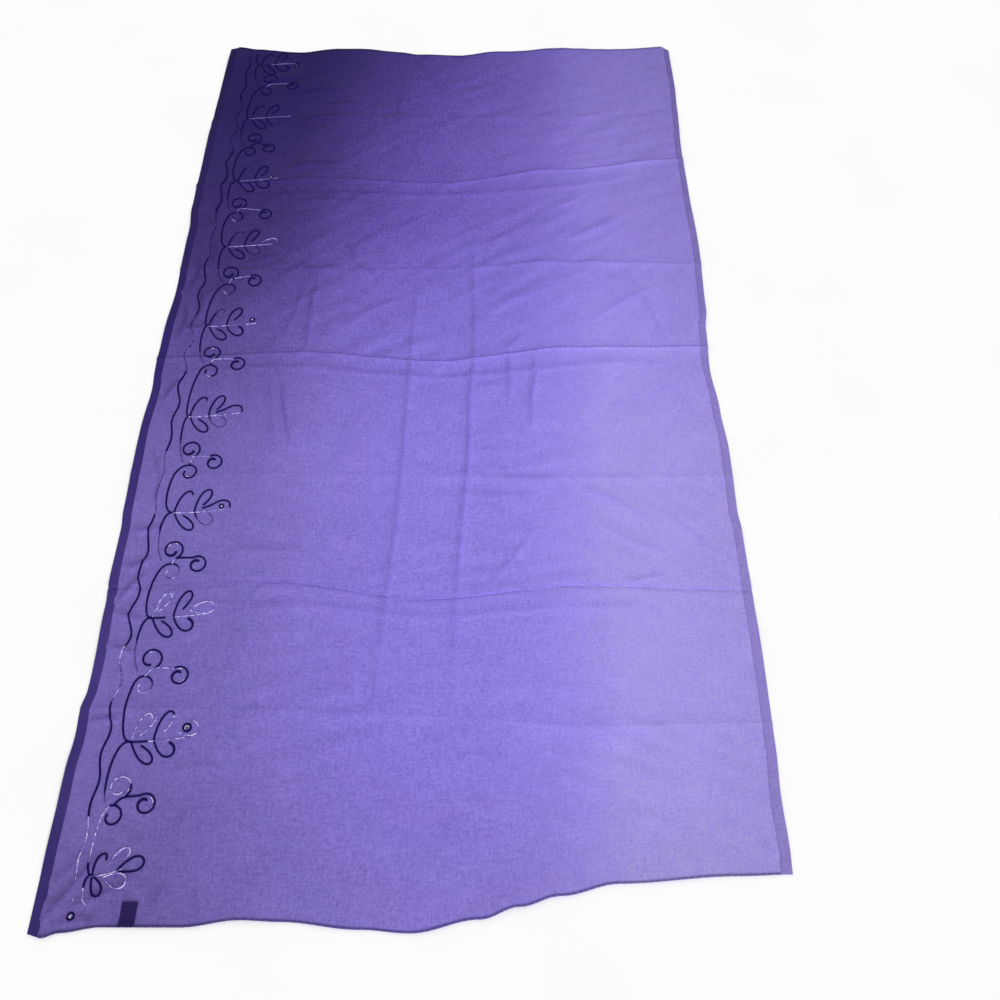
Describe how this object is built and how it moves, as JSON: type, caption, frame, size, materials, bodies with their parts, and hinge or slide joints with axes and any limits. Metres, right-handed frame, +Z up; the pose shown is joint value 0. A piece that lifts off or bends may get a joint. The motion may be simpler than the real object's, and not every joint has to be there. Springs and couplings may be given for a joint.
{
  "type": "sarong",
  "caption": "Sheer rectangular sarong laid out flat, with turned side hems, rolled end hems, a bare woven tab and a corded vine border down one side.",
  "frame": {"origin": "on the surface that the cloth lies on, under the centre of its outline", "axes": "+X across the cloth to its plain side, +Y along the cloth to its far end, +Z up"},
  "size_m": [1.08, 1.9519, 0.008],
  "materials": {
    "voile": "sheer plain weave, dip dyed from deep indigo to pale lilac",
    "turned_hem": "turned and doubled voile, topstitched",
    "rolled_hem": "narrow rolled voile",
    "tab": "satin woven tape, bare",
    "cord": "chain stitched cord with a soft sheen",
    "bright_thread": "thin metallic embroidery thread"
  },
  "bodies": {
    "root": {"cloth_panel": "voile", "left_hem": "turned_hem", "right_hem": "turned_hem", "near_rolled_hem": "rolled_hem", "far_rolled_hem": "rolled_hem", "woven_tab": "tab", "vine_trail": "cord", "vine_motif_01": "cord", "vine_motif_02": "cord", "vine_motif_03": "cord", "vine_motif_04": "cord", "vine_motif_05": "cord", "vine_motif_06": "cord", "vine_motif_07": "cord", "vine_motif_08": "cord", "vine_motif_09": "cord", "vine_motif_10": "cord"}
  },
  "joints": []
}
